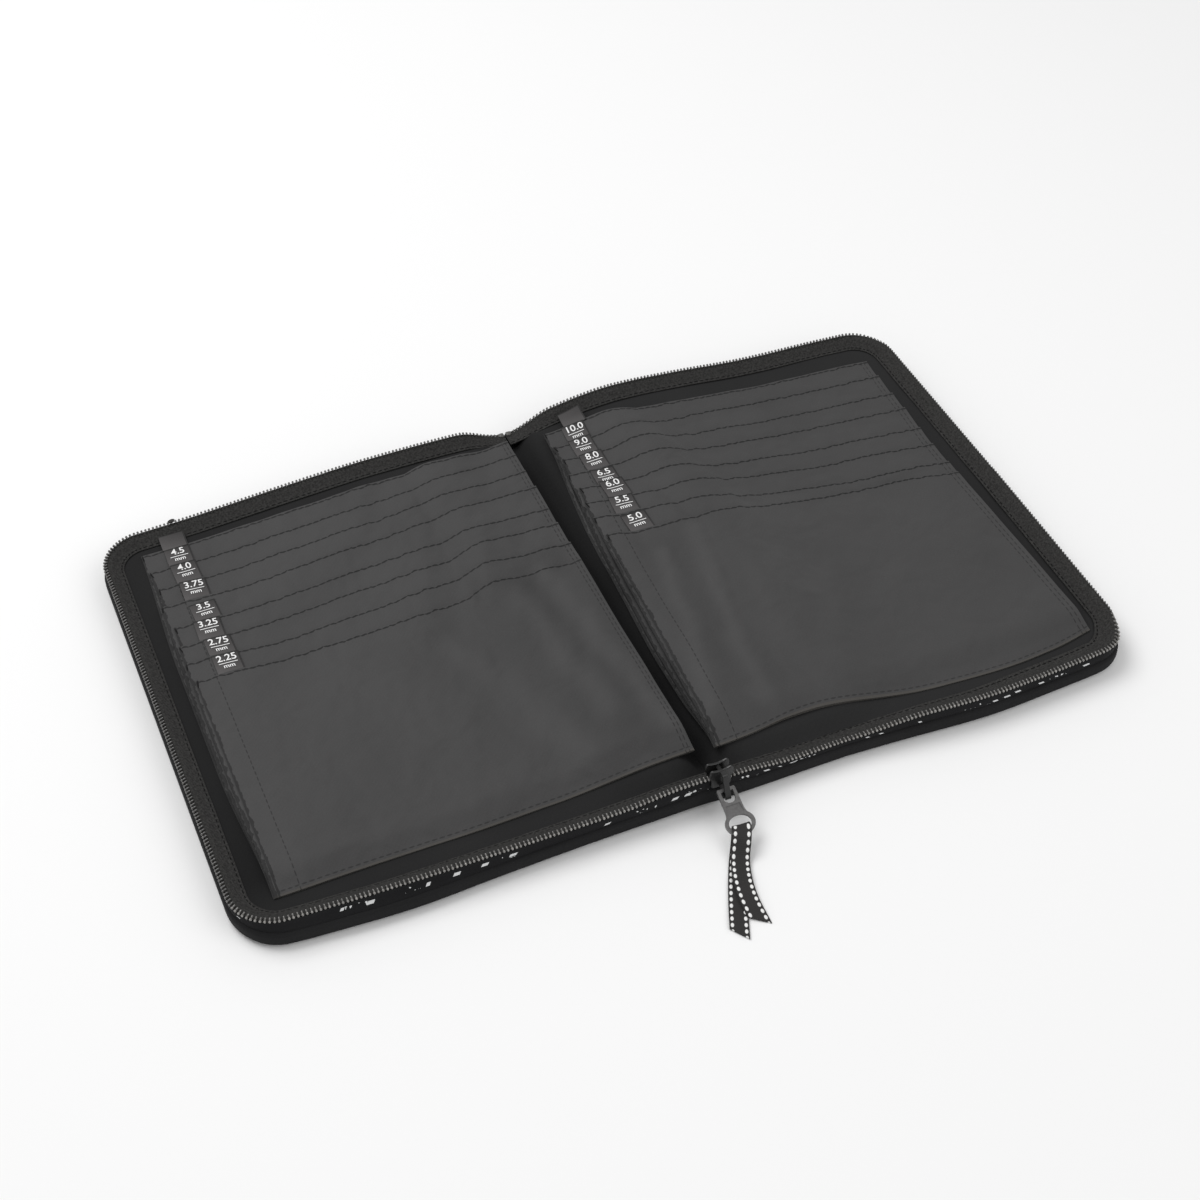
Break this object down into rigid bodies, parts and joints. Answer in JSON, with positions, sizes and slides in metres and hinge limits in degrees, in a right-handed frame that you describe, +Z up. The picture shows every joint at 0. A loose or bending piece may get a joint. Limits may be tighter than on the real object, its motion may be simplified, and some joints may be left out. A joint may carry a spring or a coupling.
{
  "type": "circular needle case",
  "caption": "Zip-around fabric case for circular knitting needles, lying open like a book, with stepped pockets on both covers, size labels and a zipper pull with a ribbon.",
  "frame": {"origin": "on the table, under the middle of the spine", "axes": "+X to the right across the open covers, +Y to the back, away from the slider, +Z up"},
  "size_m": [0.33, 0.2514, 0.0177],
  "materials": {
    "outer_fabric": "matt black woven fabric",
    "padding": "foam padding",
    "lining_fabric": "matt black lining",
    "pocket_fabric": "charcoal nylon with a slight sheen",
    "label_fabric": "dark grey woven label with white print",
    "zipper_tape": "dark woven tape",
    "coil": "dark nylon coil",
    "stop_metal": "dull light metal",
    "slider_metal": "black enamel",
    "tab_metal": "gunmetal grey",
    "ribbon_fabric": "black ribbon with white stitches"
  },
  "bodies": {
    "spine": {"spine_outer": "outer_fabric", "spine_lining": "lining_fabric", "front_chain": "coil", "bottom_stop": "coil"},
    "left_cover": {"left_outer_panel": "outer_fabric", "left_board": "padding", "left_lining": "lining_fabric", "left_gusset": "outer_fabric", "left_zipper_tape": "zipper_tape", "left_zipper_coil": "coil", "left_top_stop": "stop_metal", "left_pocket_1": "pocket_fabric", "left_pocket_2": "pocket_fabric", "left_pocket_3": "pocket_fabric", "left_pocket_4": "pocket_fabric", "left_pocket_5": "pocket_fabric", "left_pocket_6": "pocket_fabric", "left_pocket_7": "pocket_fabric", "left_pocket_8": "pocket_fabric", "left_label_1": "label_fabric", "left_label_2": "label_fabric", "left_label_3": "label_fabric", "left_label_4": "label_fabric", "left_label_5": "label_fabric", "left_label_6": "label_fabric", "left_label_7": "label_fabric", "left_label_8": "label_fabric"},
    "right_cover": {"right_outer_panel": "outer_fabric", "right_board": "padding", "right_lining": "lining_fabric", "right_gusset": "outer_fabric", "right_zipper_tape": "zipper_tape", "right_zipper_coil": "coil", "right_top_stop": "stop_metal", "right_pocket_1": "pocket_fabric", "right_pocket_2": "pocket_fabric", "right_pocket_3": "pocket_fabric", "right_pocket_4": "pocket_fabric", "right_pocket_5": "pocket_fabric", "right_pocket_6": "pocket_fabric", "right_pocket_7": "pocket_fabric", "right_pocket_8": "pocket_fabric", "right_label_1": "label_fabric", "right_label_2": "label_fabric", "right_label_3": "label_fabric", "right_label_4": "label_fabric", "right_label_5": "label_fabric", "right_label_6": "label_fabric", "right_label_7": "label_fabric", "right_label_8": "label_fabric"},
    "slider": {"slider_body": "slider_metal", "slider_bail": "slider_metal"},
    "puller": {"pull_tab": "tab_metal", "pull_ribbon": "ribbon_fabric"}
  },
  "joints": [
    {"name": "left_fold", "type": "hinge", "parent": "spine", "child": "left_cover", "pos_m": [-0.008, 0, 0.012], "axis": [0, 1, 0], "range_deg": [0, 92.5]},
    {"name": "right_fold", "type": "hinge", "parent": "spine", "child": "right_cover", "pos_m": [0.008, 0, 0.012], "axis": [0, -1, 0], "range_deg": [0, 92.5]},
    {"name": "slider_run", "type": "slide", "parent": "spine", "child": "slider", "axis": [0, 0, 1], "range_m": [0, 0.003]},
    {"name": "pull_swing", "type": "hinge", "parent": "slider", "child": "puller", "pos_m": [0, -0.10283, 0.01073], "axis": [-1, 0, 0], "range_deg": [0, 80]}
  ]
}
